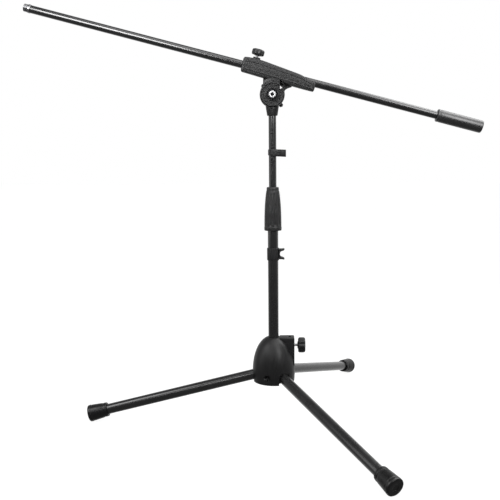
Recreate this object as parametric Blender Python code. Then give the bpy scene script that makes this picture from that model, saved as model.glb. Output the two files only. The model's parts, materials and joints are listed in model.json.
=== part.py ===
"""Boom microphone stand: folding tripod base, two-part pole, tilting head and sliding boom.

Every dimension is in millimetres and is scaled to metres where its mesh is made. Z is up,
the feet stand on Z = 0, the boom lies over the X axis, and the pole stands at X = POLE_X,
which puts the middle of the boom's length over the origin.
"""
import math

import bmesh
import bpy
from mathutils import Euler, Vector

MM = 0.001
GAP = 0.3
LOBE_MIN_R = 9.0

# Tripod base
POLE_X = 39.0
LEG_AZIMUTHS = (180.0, 60.0, 300.0)
LEG_SLOPE = math.radians(13.8)
LEG_PIVOT_R = 30.0
LEG_LENGTH = 390.0
LEG_TUBE_R = 11.15
LEG_WALL = 1.2
KNUCKLE_R = 11.0
KNUCKLE_HALF = 11.8
KNUCKLE_END = 12.0
SLOT_HALF = 12.25
FOOT_LENGTH = 43.0
FOOT_MOUTH_R = 14.4
FOOT_END_R = 18.3
FOOT_EDGE_R = 4.5
FOOT_FLAT = 0.5
PIN_R = 3.0
PIN_HEAD_R = 4.8
PIN_SEAT = 18.7
DOME_BOTTOM = 93.0
DOME_WIDEST = 110.0
DOME_HEIGHT = 82.2
DOME_R = 46.0
DOME_POWER = 2.2
DOME_TOP = 189.0
LUG_FACE = 45.0
LUG_TOP = 190.0
LUG_HALF = 13.5
LOCK_Z = 171.0
LOCK_NUT_X = 33.0
LOCK_NUT_THICK = 4.0
LOCK_NUT_HALF = 5.0
LOCK_NUT_PLAY = 0.4
LOCK_KNOB_R = 16.8
LOCK_KNOB_LOBES = 8
SCREW_R = 3.0
PAD_R = 4.6

# Pole
LOWER_TUBE_R = 11.15
LOWER_WALL = 1.2
LOWER_BOTTOM = 97.3
LOWER_TOP = 438.0
UPPER_TUBE_R = 8.0
UPPER_WALL = 1.0
UPPER_BOTTOM = 264.0
GUIDE_LENGTH = 20.0
GRIP_BOTTOM = 421.8
GRIP_TOP = 513.5
GRIP_FLUTES = 12
BUSH_BOTTOM = 418.0
BUSH_TOP = 464.2
COLLET_BOTTOM = 464.6
COLLET_TOP = 496.0
COLLET_SLIT = 1.2
LOWER_CLIP_LOW = 358.0
LOWER_CLIP_HIGH = 384.0
LOWER_CLIP_R = 12.9
LOWER_CLIP_HALF = 7.0
UPPER_CLIP_LOW = 580.0
UPPER_CLIP_HIGH = 592.0
UPPER_CLIP_R = 9.4
UPPER_CLIP_HALF = 9.8
CABLE_X = 18.6
CABLE_R = 5.0
CABLE_MOUTH_HALF = 3.0

# Head, measured from the tilt pivot
PIVOT_Z = 704.4
DISC_R = 25.7
DISC_FRONT = -15.0
DISC_BACK = -1.0
SECTOR_R = 33.0
SECTOR_HALF = 20.0
BRACKET_R = 26.0
BRACKET_FRONT = 0.5
BRACKET_BACK = 13.0
SOCKET_BOTTOM = -42.9
TUBE_STOP = -29.5
BOLT_R = 4.0
BOLT_HEAD_R = 8.6
BOLT_END = 24.0
WING_TURN = math.radians(47.0)

# Boom, measured along (u) and square to (v) its own axis from the tilt pivot
BOOM_TILT = math.radians(15.0)
ROD_V = 44.0
ROD_R = 8.0
ROD_WALL = 1.0
ROD_START = -524.0
ROD_END = 430.0
THREAD_TIP = -538.6
THREAD_ROOT = -530.0
CLAMP_HALF = 13.0
LOCK_U = -49.5
LINER_START = -72.6
LINER_END = 32.0
BOOM_KNOB_R = 12.9
BOOM_KNOB_LOBES = 6
WEIGHT_START = 340.0
WEIGHT_END = 437.0
WEIGHT_R = 13.0

# Number of flat sides on each kind of round piece
FINE = 32
ROUND = 20
SMALL = 12


def clear_scene():
    for item in list(bpy.data.objects):
        bpy.data.objects.remove(item, do_unlink=True)


def make_material(name, colour, roughness, metallic):
    made = bpy.data.materials.new(name)
    made.use_nodes = True
    shader = made.node_tree.nodes["Principled BSDF"]
    shader.inputs["Base Color"].default_value = (*colour, 1.0)
    shader.inputs["Roughness"].default_value = roughness
    shader.inputs["Metallic"].default_value = metallic
    return made


def make_empty(name, location, rotation=(0.0, 0.0, 0.0)):
    made = bpy.data.objects.new(name, None)
    made.location = Vector(location) * MM
    made.rotation_euler = Euler(rotation)
    bpy.context.collection.objects.link(made)
    return made


def place(name, mesh_builder, parent, material=None):
    """Turn a bmesh in millimetres into an object under its parent."""
    bmesh.ops.recalc_face_normals(mesh_builder, faces=mesh_builder.faces)
    for vertex in mesh_builder.verts:
        vertex.co *= MM
    mesh = bpy.data.meshes.new(name)
    mesh_builder.to_mesh(mesh)
    mesh_builder.free()
    mesh.shade_smooth()
    mesh.set_sharp_from_angle(angle=math.radians(32))
    made = bpy.data.objects.new(name, mesh)
    made.parent = parent
    bpy.context.collection.objects.link(made)
    if material:
        mesh.materials.append(material)
    return made


AXES = {
    "X": lambda h, a, b: (h, a, b),
    "Y": lambda h, a, b: (b, h, a),
    "Z": lambda h, a, b: (a, b, h),
}


def turned(profile, axis="Z", centre=(0.0, 0.0, 0.0), sides=ROUND, ripple=None):
    """Turn (radius, height) points about an axis; a closed loop leaves a bore.

    A profile whose first and last points are on the axis makes a solid, with flat ends
    where they are level with their neighbours. ripple(radius, height, angle) returns the
    radius at that angle.
    """
    shape = bmesh.new()
    is_solid = profile[0][0] < 1e-6
    if is_solid and profile[0][1] == profile[1][1]:
        profile = profile[1:]
    if is_solid and profile[-1][1] == profile[-2][1]:
        profile = profile[:-1]
    rings = []
    for radius, height in profile:
        if radius < 1e-6:
            point = Vector(AXES[axis](height, 0.0, 0.0)) + Vector(centre)
            rings.append([shape.verts.new(point)])
            continue
        ring = []
        for k in range(sides):
            angle = 2.0 * math.pi * k / sides
            r = ripple(radius, height, angle) if ripple else radius
            point = Vector(AXES[axis](height, r * math.cos(angle), r * math.sin(angle)))
            ring.append(shape.verts.new(point + Vector(centre)))
        rings.append(ring)
    pairs = list(zip(rings, rings[1:]))
    if is_solid:
        for flat_end in (rings[0], rings[-1]):
            if len(flat_end) > 1:
                shape.faces.new(flat_end)
    else:
        pairs.append((rings[-1], rings[0]))
    for one, two in pairs:
        for k in range(sides):
            n = (k + 1) % sides
            corners = [one[k % len(one)], one[n % len(one)], two[n % len(two)], two[k % len(two)]]
            shape.faces.new(list(dict.fromkeys(corners)))
    return shape


def tube(inner, outer, low, high, axis="Z", centre=(0.0, 0.0, 0.0), sides=ROUND):
    """A straight tube, or a rod where inner is 0."""
    if inner > 0:
        profile = [(inner, low), (outer, low), (outer, high), (inner, high)]
    else:
        profile = [(0.0, low), (outer, low), (outer, high), (0.0, high)]
    return turned(profile, axis, centre, sides)


def prism(outline, low, high):
    """Extrude (x, z) points along Y."""
    shape = bmesh.new()
    corners = [shape.verts.new((a, low, b)) for a, b in outline]
    face = shape.faces.new(corners)
    grown = bmesh.ops.extrude_face_region(shape, geom=[face])
    moved = [g for g in grown["geom"] if isinstance(g, bmesh.types.BMVert)]
    bmesh.ops.translate(shape, verts=moved, vec=(0.0, high - low, 0.0))
    return shape


def block(x0, x1, y0, y1, z0, z1):
    return prism([(x0, z0), (x1, z0), (x1, z1), (x0, z1)], y0, y1)


def arc(radius, start, end, steps, centre=(0.0, 0.0)):
    """Points on an arc, with its angles in degrees."""
    points = []
    for k in range(steps + 1):
        angle = math.radians(start + (end - start) * k / steps)
        x = centre[0] + radius * math.cos(angle)
        points.append((x, centre[1] + radius * math.sin(angle)))
    return points


def combine(target, operation, name, shape):
    """Add a helper body to its target with a Boolean modifier."""
    helper = place(name, shape, target.parent)
    helper.hide_render = True
    helper.display_type = "WIRE"
    modifier = target.modifiers.new(name, "BOOLEAN")
    modifier.operation = operation
    modifier.solver = "EXACT"
    modifier.object = helper
    return helper


def cut(target, name, shape):
    return combine(target, "DIFFERENCE", name, shape)


def join(target, name, shape):
    return combine(target, "UNION", name, shape)


def soften(target, width, segments=2):
    modifier = target.modifiers.new("soft_edges", "BEVEL")
    modifier.width = width * MM
    modifier.segments = segments
    modifier.limit_method = "ANGLE"
    modifier.angle_limit = math.radians(40)


def lobes(count, depth, low, high):
    """A ripple that scallops the outside between two heights and leaves the bore round."""
    def ripple(radius, height, angle):
        if low <= height <= high and radius > LOBE_MIN_R:
            return radius - depth * (0.5 - 0.5 * math.cos(count * angle))
        return radius
    return ripple


def foot_profile():
    """The boot's outline from its tip round its mouth to the end of its socket."""
    tip = LEG_LENGTH
    mouth = LEG_LENGTH - FOOT_LENGTH
    bore = LEG_TUBE_R + GAP
    edge = arc(FOOT_EDGE_R, 0.0, 90.0, 4, (tip - FOOT_EDGE_R, FOOT_END_R - FOOT_EDGE_R))
    outline = [(0.0, tip)]
    outline += [(r, x) for x, r in edge]
    outline += [(FOOT_MOUTH_R + 0.2, mouth + 6.0), (FOOT_MOUTH_R + 1.0, mouth + 4.5)]
    outline += [(FOOT_MOUTH_R + 1.0, mouth + 1.0), (FOOT_MOUTH_R, mouth)]
    outline += [(bore, mouth), (bore, tip - 4.7), (0.0, tip - 4.7)]
    return outline


def leg_pivot_height():
    """The hinge height that puts the boot's lower rim FOOT_FLAT below the floor."""
    reach = max(x * math.sin(LEG_SLOPE) + r * math.cos(LEG_SLOPE) for r, x in foot_profile())
    return reach - FOOT_FLAT


LEG_PIVOT_Z = leg_pivot_height()


def dome_radius(z):
    rise = (z - DOME_WIDEST) / DOME_HEIGHT
    return DOME_R * (1.0 - rise ** DOME_POWER) ** (1.0 / DOME_POWER)


def rubber_foot(name, frame, material):
    """A boot trimmed level where it stands on the floor."""
    shape = turned(foot_profile(), "X")
    down = Vector((math.sin(LEG_SLOPE), 0.0, -math.cos(LEG_SLOPE)))
    cut_plane = bmesh.ops.bisect_plane(
        shape,
        geom=shape.verts[:] + shape.edges[:] + shape.faces[:],
        plane_co=down * LEG_PIVOT_Z,
        plane_no=down,
        clear_outer=True,
    )
    rim = [g for g in cut_plane["geom_cut"] if isinstance(g, bmesh.types.BMEdge)]
    bmesh.ops.edgenet_fill(shape, edges=rim)
    return place(name, shape, frame, material)


def leg_knuckle(name, frame, material):
    """The plastic end that the leg turns on, with its plug in the tube."""
    outline = arc(KNUCKLE_R, 90.0, 270.0, 10) + [(KNUCKLE_END, -KNUCKLE_R), (KNUCKLE_END, KNUCKLE_R)]
    knuckle = place(name, prism(outline, -KNUCKLE_HALF, KNUCKLE_HALF), frame, material)
    plug_r = LEG_TUBE_R - LEG_WALL - GAP
    join(knuckle, name + "_plug", tube(0.0, plug_r, KNUCKLE_END - 2.0, 40.0, "X", sides=SMALL))
    bore = tube(0.0, PIN_R + GAP, -20.0, 20.0, "Y", sides=SMALL)
    cut(knuckle, name + "_bore", bore)
    return knuckle


def leg_pin(name, frame, material):
    profile = [(0.0, -PIN_SEAT - 2.8), (3.6, -PIN_SEAT - 2.8), (PIN_HEAD_R, -PIN_SEAT - 2.0)]
    profile += [(PIN_HEAD_R, -PIN_SEAT - GAP), (PIN_R, -PIN_SEAT - GAP), (PIN_R, 20.0), (0.0, 20.0)]
    return place(name, turned(profile, "Y", sides=SMALL), frame, material)


def legs(materials):
    """Three legs, each in a frame whose X runs out along the leg from its hinge."""
    for number, azimuth in enumerate(LEG_AZIMUTHS, start=1):
        angle = math.radians(azimuth)
        hinge = (
            POLE_X + LEG_PIVOT_R * math.cos(angle),
            LEG_PIVOT_R * math.sin(angle),
            LEG_PIVOT_Z,
        )
        frame = make_empty(f"leg_frame_{number}", hinge, (0.0, LEG_SLOPE, angle))
        tube_end = LEG_LENGTH - 5.0
        bore = LEG_TUBE_R - LEG_WALL
        shape = tube(bore, LEG_TUBE_R, KNUCKLE_END + GAP, tube_end, "X")
        place(f"leg_tube_{number}", shape, frame, materials["tube"])
        leg_knuckle(f"leg_knuckle_{number}", frame, materials["plastic"])
        rubber_foot(f"rubber_foot_{number}", frame, materials["rubber"])
        leg_pin(f"leg_pin_{number}", frame, materials["steel"])


def leg_slot():
    """The space a leg needs in the housing, in the plane of the leg, open below."""
    inner = -KNUCKLE_R - 0.6
    outer = 70.0
    stop = (LEG_TUBE_R + 0.35) / math.cos(LEG_SLOPE)
    outline = [(x, stop - x * math.tan(LEG_SLOPE)) for x in (inner, outer)]
    outline += [(outer, -60.0), (inner, -40.0)]
    return prism(outline, -SLOT_HALF, SLOT_HALF)


def housing_profile():
    """The domed outline from the bore's foot, out and up to the flat top."""
    bore = LOWER_TUBE_R + GAP
    outline = [(bore, DOME_BOTTOM), (DOME_R - 1.6, DOME_BOTTOM), (DOME_R - 0.9, DOME_BOTTOM + 1.0)]
    steps = 7
    for k in range(steps + 1):
        z = DOME_WIDEST + (DOME_TOP - DOME_WIDEST) * math.sin(math.pi / 2 * k / steps)
        outline.append((dome_radius(z), z))
    outline.append((bore, DOME_TOP))
    return outline


def base_housing(frame, materials):
    """The domed hub: tube bore, screw lug and three leg slots with their pin holes."""
    housing = place("base_housing", turned(housing_profile(), sides=FINE), frame, materials["plastic"])
    lug = join(housing, "lug", block(12.5, LUG_FACE, -LUG_HALF, LUG_HALF, 126.0, LUG_TOP))
    soften(lug, 2.5)
    cut(housing, "tube_bore", tube(0.0, LOWER_TUBE_R + GAP, 60.0, 220.0, sides=FINE))
    for number, azimuth in enumerate(LEG_AZIMUTHS, start=1):
        angle = math.radians(azimuth)
        hinge = Vector((LEG_PIVOT_R * math.cos(angle), LEG_PIVOT_R * math.sin(angle), LEG_PIVOT_Z))
        slot = cut(housing, f"leg_slot_{number}", leg_slot())
        slot.location = hinge * MM
        slot.rotation_euler = (0.0, 0.0, angle)
        hole = [(0.0, -60.0), (5.5, -60.0), (5.5, -PIN_SEAT), (PIN_R + GAP, -PIN_SEAT)]
        hole += [(PIN_R + GAP, 20.4), (0.0, 20.4)]
        pocket = cut(housing, f"pin_hole_{number}", turned(hole, "Y", sides=SMALL))
        pocket.location = hinge * MM
        pocket.rotation_euler = (0.0, 0.0, angle)
    pad_hole = PAD_R + GAP
    screw_hole = SCREW_R + GAP
    hole = [(0.0, 5.0), (pad_hole, 5.0), (pad_hole, 14.3), (screw_hole, 14.3)]
    hole += [(screw_hole, 60.0), (0.0, 60.0)]
    cut(housing, "screw_hole", turned(hole, "X", (0.0, 0.0, LOCK_Z), SMALL))
    near = LOCK_NUT_X - GAP
    far = LOCK_NUT_X + LOCK_NUT_THICK + GAP
    half = LOCK_NUT_HALF + LOCK_NUT_PLAY
    cut(housing, "nut_slot", block(near, far, -half, half, LOCK_Z - half, LUG_TOP + 20.0))


def base_lock(frame, materials):
    """The clamp screw in the lug: captive square nut, pad, screw and lobed knob."""
    half = LOCK_NUT_HALF
    square = block(LOCK_NUT_X, LOCK_NUT_X + LOCK_NUT_THICK, -half, half, LOCK_Z - half, LOCK_Z + half)
    nut = place("base_lock_nut", square, frame, materials["steel"])
    cut(nut, "lock_nut_thread", tube(0.0, SCREW_R + GAP, 30.0, 40.0, "X", (0.0, 0.0, LOCK_Z), SMALL))
    pad = tube(0.0, PAD_R, LOWER_TUBE_R + GAP, 14.0, "X", (0.0, 0.0, LOCK_Z), SMALL)
    place("base_lock_pad", pad, frame, materials["nylon"])
    turn_frame = make_empty("base_lock_frame", (POLE_X, 0.0, LOCK_Z))
    screw = tube(0.0, SCREW_R, 14.6, 62.0, "X", sides=SMALL)
    place("base_lock_screw", screw, turn_frame, materials["steel"])
    hole = SCREW_R + GAP
    rim = LOCK_KNOB_R
    outline = [(0.0, 62.4), (hole, 62.4), (hole, 51.7), (8.0, 51.7), (8.6, 53.0), (rim - 1.6, 53.4)]
    outline += [(rim, 55.0), (rim, 65.9), (rim - 1.4, 68.0), (10.0, 68.6), (0.0, 68.6)]
    ripple = lobes(LOCK_KNOB_LOBES, 1.8, 53.2, 68.2)
    place("base_lock_knob", turned(outline, "X", sides=FINE, ripple=ripple), turn_frame,
          materials["plastic"])


def lower_clip(frame, material):
    """A snap collar with two flared lips that hold a cable across the pole."""
    bore = LOWER_TUBE_R + GAP
    ring = tube(bore, LOWER_CLIP_R, LOWER_CLIP_LOW, LOWER_CLIP_HIGH)
    collar = place("lower_cable_clip", ring, frame, material)
    jaw = [(12.2, 382.2), (20.0, 382.2), (24.3, 384.6), (24.3, 381.2), (20.6, 378.2), (15.4, 376.6)]
    jaw += [(14.4, 371.2), (15.4, 366.0), (20.6, 364.2), (24.3, 361.4), (24.3, 358.0), (20.0, 360.2)]
    jaw += [(12.2, 360.2)]
    join(collar, "lower_jaw", prism(jaw, -LOWER_CLIP_HALF, LOWER_CLIP_HALF))
    cut(collar, "lower_clip_bore", tube(0.0, bore, LOWER_CLIP_LOW - 20.0, LOWER_CLIP_HIGH + 20.0))


def upper_clip(frame, material):
    """A snap collar in a block that holds a cable along the pole."""
    bore = UPPER_TUBE_R + GAP
    low = UPPER_CLIP_LOW - 20.0
    high = UPPER_CLIP_HIGH + 20.0
    ring = tube(bore, UPPER_CLIP_R, UPPER_CLIP_LOW, UPPER_CLIP_HIGH)
    collar = place("upper_cable_clip", ring, frame, material)
    side = [(-0.7, 578.0), (28.0, 576.4), (28.0, 591.4), (-0.7, 592.8)]
    join(collar, "upper_block", prism(side, -UPPER_CLIP_HALF, UPPER_CLIP_HALF))
    cut(collar, "upper_clip_bore", tube(0.0, bore, low, high))
    cut(collar, "cable_channel", tube(0.0, CABLE_R, low, high, "Z", (CABLE_X, 0.0, 0.0), SMALL))
    mouth = block(20.0, 40.0, -CABLE_MOUTH_HALF, CABLE_MOUTH_HALF, low, high)
    cut(collar, "channel_mouth", mouth)


def pole(materials):
    """The lower tube with its plug, clutch seat and clip."""
    frame = make_empty("pole_frame", (POLE_X, 0.0, 0.0))
    inner = LOWER_TUBE_R - LOWER_WALL
    place("lower_tube", tube(inner, LOWER_TUBE_R, LOWER_BOTTOM, LOWER_TOP), frame, materials["tube"])
    plug = [(0.0, 94.0), (10.6, 94.0), (10.9, 95.0), (10.9, LOWER_BOTTOM - GAP)]
    plug += [(inner - GAP, LOWER_BOTTOM - GAP), (inner - GAP, 110.0), (0.0, 110.0)]
    place("tube_end_plug", turned(plug), frame, materials["plastic"])
    bore = UPPER_TUBE_R + GAP
    bush = [(bore, BUSH_BOTTOM), (inner - GAP, BUSH_BOTTOM), (inner - GAP, LOWER_TOP + GAP)]
    bush += [(LOWER_TUBE_R, LOWER_TOP + GAP), (LOWER_TUBE_R, LOWER_TOP + 3.6), (10.5, LOWER_TOP + 3.6)]
    bush += [(10.5, BUSH_TOP), (bore, BUSH_TOP)]
    place("clutch_bush", turned(bush), frame, materials["nylon"])
    lower_clip(make_empty("lower_clip_frame", (POLE_X, 0.0, 0.0)), materials["plastic"])


def clutch(materials):
    """The twist grip over a slit collet that holds the upper tube."""
    frame = make_empty("clutch_frame", (POLE_X, 0.0, 0.0))
    bore = UPPER_TUBE_R + GAP
    cone = [(bore, COLLET_BOTTOM), (10.8, COLLET_BOTTOM), (10.8, COLLET_BOTTOM + 5.0)]
    cone += [(9.7, COLLET_TOP), (bore, COLLET_TOP)]
    collet = place("clutch_collet", turned(cone), frame, materials["nylon"])
    half = COLLET_SLIT / 2.0
    foot = COLLET_BOTTOM + 8.0
    head = COLLET_TOP + 5.0
    cut(collet, "slit_x", block(-20.0, 20.0, -half, half, foot, head))
    cut(collet, "slit_y", block(-half, half, -20.0, 20.0, foot, head))
    outline = [(11.6, GRIP_BOTTOM), (17.9, GRIP_BOTTOM), (18.5, GRIP_BOTTOM + 1.2)]
    outline += [(18.5, GRIP_BOTTOM + 7.0), (18.1, GRIP_BOTTOM + 9.0), (17.9, 446.0), (17.3, 470.0)]
    outline += [(15.6, 490.0), (14.0, 503.0), (13.2, 510.0), (12.2, GRIP_TOP)]
    outline += [(8.6, GRIP_TOP), (8.6, 502.0), (11.6, 499.0)]
    ripple = lobes(GRIP_FLUTES, 0.9, 440.0, 492.0)
    place("clutch_grip", turned(outline, sides=3 * GRIP_FLUTES, ripple=ripple), frame,
          materials["rubber"])


def upper_pole(materials):
    """The sliding tube, its guide ring and its cable clip."""
    frame = make_empty("upper_frame", (POLE_X, 0.0, 0.0))
    top = PIVOT_Z + TUBE_STOP - GAP
    inner = UPPER_TUBE_R - UPPER_WALL
    place("upper_tube", tube(inner, UPPER_TUBE_R, UPPER_BOTTOM, top), frame, materials["tube"])
    outer = LOWER_TUBE_R - LOWER_WALL - GAP
    guide = tube(UPPER_TUBE_R + GAP, outer, UPPER_BOTTOM, UPPER_BOTTOM + GUIDE_LENGTH)
    place("tube_guide", guide, frame, materials["nylon"])
    upper_clip(make_empty("upper_clip_frame", (POLE_X, 0.0, 0.0)), materials["plastic"])


def swivel_head(frame, materials):
    """The socket on the tube with the fixed front half of the tilt joint."""
    socket = [(0.0, SOCKET_BOTTOM), (10.6, SOCKET_BOTTOM), (11.0, SOCKET_BOTTOM + 1.0)]
    socket += [(13.8, -23.0), (13.8, -14.0), (0.0, -14.0)]
    head = place("swivel_head", turned(socket), frame, materials["cast"])
    disc = [(0.0, DISC_FRONT), (DISC_R - 1.5, DISC_FRONT), (DISC_R, DISC_FRONT + 1.5)]
    disc += [(DISC_R, DISC_BACK), (0.0, DISC_BACK)]
    join(head, "front_disc", turned(disc, "Y", sides=FINE))
    reach = math.degrees(math.acos(SECTOR_HALF / SECTOR_R))
    sector = arc(SECTOR_R, reach, 180.0 - reach, 8) + [(-SECTOR_HALF, 6.0), (SECTOR_HALF, 6.0)]
    join(head, "top_sector", prism(sector, DISC_FRONT + 1.0, DISC_BACK - 0.2))
    cut(head, "bracket_space", tube(0.0, BRACKET_R + 0.8, DISC_BACK + 0.3, 40.0, "Y", sides=FINE))
    cut(head, "tube_socket", tube(0.0, UPPER_TUBE_R + GAP, SOCKET_BOTTOM - 5.0, TUBE_STOP))
    recess = [(0.0, DISC_FRONT - 5.0), (11.5, DISC_FRONT - 5.0), (11.5, DISC_FRONT + 4.0)]
    recess += [(BOLT_R + GAP, DISC_FRONT + 4.0), (BOLT_R + GAP, 5.0), (0.0, 5.0)]
    cut(head, "bolt_recess", turned(recess, "Y", sides=ROUND))


def pivot_hardware(frame, materials):
    """The bolt through both discs, its washers and the winged nut handle behind."""
    hole = BOLT_R + GAP
    floor = DISC_FRONT + 4.0
    place("friction_disc", tube(hole, 20.0, DISC_BACK + GAP, BRACKET_FRONT - GAP, "Y"), frame,
          materials["nylon"])
    place("pivot_washer", tube(hole, 10.6, floor - 1.6, floor - GAP, "Y"), frame, materials["dark"])
    under = floor - 1.6 - GAP
    bolt = [(0.0, under - 1.4), (3.4, under - 1.4), (3.4, under - 3.8), (BOLT_HEAD_R - 0.8, under - 3.8)]
    bolt += [(BOLT_HEAD_R, under - 3.0), (BOLT_HEAD_R, under), (BOLT_R, under)]
    bolt += [(BOLT_R, BOLT_END), (0.0, BOLT_END)]
    place("pivot_bolt", turned(bolt, "Y"), frame, materials["chrome"])
    back = BRACKET_BACK + GAP
    handle_frame = make_empty("handle_frame", (POLE_X, 0.0, PIVOT_Z))
    place("rear_washer", tube(hole, 9.5, back, back + 1.3, "Y", sides=SMALL), handle_frame,
          materials["steel"])
    start = back + 1.3 + GAP
    hub = [(hole, start), (7.4, start), (8.4, start + 1.5), (8.4, 26.0), (7.0, 28.0), (0.0, 28.0)]
    blind = BOLT_END + 0.4
    hub = [(0.0, blind), (hole, blind)] + hub
    handle = place("pivot_handle", turned(hub, "Y", sides=SMALL), handle_frame, materials["plastic"])
    wing = arc(4.6, -90.0, 90.0, 6, (27.0, 0.0)) + arc(4.6, 90.0, 270.0, 6, (-27.0, 0.0))
    wings = join(handle, "wings", prism(wing, 18.5, 26.5))
    wings.rotation_euler = (0.0, WING_TURN, 0.0)
    cut(handle, "handle_thread", tube(0.0, hole, 5.0, blind, "Y", sides=SMALL))


def clamp_outline():
    """The boom clamp from the side, as (u, v) points, anticlockwise from its lower left."""
    under = [(-73.5, 29.4), (-40.0, 28.4), (0.0, 27.4), (60.0, 26.4), (79.4, 26.6)]
    tongue = [(81.2, 28.4), (81.2, 42.6), (79.4, 44.4)]
    scoop = [(72.0, 45.8), (62.0, 48.6), (53.0, 51.6), (46.0, 53.6)]
    crown = [(-38.0, 61.6), (-58.0, 61.6), (-72.0, 60.0), (-75.5, 56.0), (-75.5, 32.0)]
    return under + tongue + scoop + crown


def boom_clamp(frame, materials):
    """The clamp that carries the rod, with the moving rear half of the tilt joint."""
    outline = clamp_outline()
    clamp = place("boom_clamp_body", prism(outline, -CLAMP_HALF, CLAMP_HALF), frame, materials["matt"])
    soften(clamp, 2.2)
    boss = [(0.0, 54.0), (7.6, 54.0), (7.6, 64.2), (6.8, 65.0), (0.0, 65.0)]
    join(clamp, "screw_boss", turned(boss, "Z", (LOCK_U, 0.0, 0.0), ROUND))
    join(clamp, "rear_disc", tube(0.0, BRACKET_R, BRACKET_FRONT, BRACKET_BACK, "Y", sides=FINE))
    gusset = [(-24.8, 6.0), (-31.0, 31.0), (35.0, 31.0), (33.0, 20.0), (25.4, 3.0)]
    join(clamp, "gusset", prism(list(reversed(gusset)), BRACKET_FRONT + 0.2, BRACKET_BACK - 0.4))
    arch = tube(0.0, SECTOR_R + 0.6, -40.0, BRACKET_FRONT - GAP, "Y", sides=FINE)
    cut(clamp, "front_arch", arch)
    middle = (0.0, 0.0, ROD_V)
    cut(clamp, "rod_bore", tube(0.0, ROD_R + 0.4, -90.0, 100.0, "X", middle))
    cut(clamp, "liner_bore", tube(0.0, ROD_R + 1.4, LINER_START - 0.4, LINER_END + GAP, "X", middle))
    cut(clamp, "bolt_bore", tube(0.0, BOLT_R + GAP, -20.0, 30.0, "Y", sides=SMALL))
    window = [(17.8, 20.6), (22.6, 14.4), (25.0, 21.2)]
    cut(clamp, "gusset_window", prism(window, -30.0, 30.0))
    pad_hole = PAD_R + GAP
    screw_hole = SCREW_R + GAP
    hole = [(0.0, 50.0), (pad_hole, 50.0), (pad_hole, 54.4), (screw_hole, 54.4)]
    hole += [(screw_hole, 70.0), (0.0, 70.0)]
    cut(clamp, "boom_screw_hole", turned(hole, "Z", (LOCK_U, 0.0, 0.0), SMALL))
    pocket = tube(0.0, 5.6, 58.2, 70.0, "Z", (LOCK_U, 0.0, 0.0), 6)
    cut(clamp, "nut_pocket", pocket)
    sleeve = tube(ROD_R + GAP, ROD_R + 1.1, LINER_START, LINER_END, "X", middle)
    liner = place("clamp_liner", sleeve, frame, materials["nylon"])
    cut(liner, "liner_hole", tube(0.0, pad_hole, ROD_V + 3.0, 60.0, "Z", (LOCK_U, 0.0, 0.0), SMALL))


def boom_lock(frame, materials):
    """The thumb screw on the clamp: hexagon nut, pressure pad, screw and knob."""
    at_screw = (LOCK_U, 0.0, 0.0)
    nut = place("boom_lock_nut", tube(0.0, 5.2, 58.6, 64.8, "Z", at_screw, 6), frame, materials["steel"])
    cut(nut, "boom_nut_thread", tube(0.0, SCREW_R + GAP, 50.0, 70.0, "Z", at_screw, SMALL))
    pad = tube(0.0, PAD_R, ROD_V + ROD_R + GAP, 54.0, "Z", at_screw, SMALL)
    place("boom_lock_pad", pad, frame, materials["nylon"])
    turn_frame = make_empty("boom_lock_frame", at_screw)
    turn_frame.parent = frame
    place("boom_lock_screw", tube(0.0, SCREW_R, 54.6, 77.0, sides=SMALL), turn_frame, materials["steel"])
    hole = SCREW_R + GAP
    rim = BOOM_KNOB_R
    outline = [(0.0, 77.3), (hole, 77.3), (hole, 68.4), (6.0, 68.4), (6.4, 69.2), (rim - 1.3, 69.6)]
    outline += [(rim, 71.0), (rim, 79.4), (rim - 1.3, 81.0), (7.0, 81.6), (0.0, 81.6)]
    ripple = lobes(BOOM_KNOB_LOBES, 1.6, 69.4, 81.3)
    place("boom_lock_knob", turned(outline, sides=30, ripple=ripple), turn_frame, materials["plastic"])


def boom(frame, materials):
    """The rod with its threaded stud at one end and its counterweight at the other."""
    rod_frame = make_empty("rod_frame", (0.0, 0.0, ROD_V))
    rod_frame.parent = frame
    inner = ROD_R - ROD_WALL
    place("boom_rod", tube(inner, ROD_R, ROD_START, ROD_END, "X"), rod_frame, materials["tube"])
    shank = inner - GAP
    stud = [(0.0, THREAD_TIP), (7.1, THREAD_TIP), (7.9, THREAD_TIP + 0.9), (7.9, THREAD_ROOT)]
    stud += [(shank, THREAD_ROOT), (shank, ROD_START + 24.0), (0.0, ROD_START + 24.0)]
    place("thread_stud", turned(stud, "X"), rod_frame, materials["chrome"])
    collar = [(shank + GAP, THREAD_ROOT + GAP), (8.1, THREAD_ROOT + GAP), (8.8, THREAD_ROOT + 1.0)]
    collar += [(8.8, ROD_START - 1.0), (8.3, ROD_START - GAP), (shank + GAP, ROD_START - GAP)]
    place("thread_collar", turned(collar, "X"), rod_frame, materials["chrome"])
    core = tube(ROD_R + GAP, 11.6, WEIGHT_START + 3.0, WEIGHT_END - 4.3, "X")
    place("counterweight_core", core, rod_frame, materials["iron"])
    edge = arc(3.0, 0.0, 90.0, 3, (WEIGHT_END - 3.0, WEIGHT_R - 3.0))
    sleeve = [(0.0, WEIGHT_END)] + [(r, x) for x, r in edge]
    sleeve += [(WEIGHT_R, WEIGHT_START + 2.0), (WEIGHT_R - 2.0, WEIGHT_START), (ROD_R + 0.4, WEIGHT_START)]
    sleeve += [(ROD_R + 0.4, WEIGHT_START + 2.7), (11.9, WEIGHT_START + 2.7)]
    sleeve += [(11.9, WEIGHT_END - 4.0), (0.0, WEIGHT_END - 4.0)]
    place("counterweight_sleeve", turned(sleeve, "X"), rod_frame, materials["sleeve"])


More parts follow.
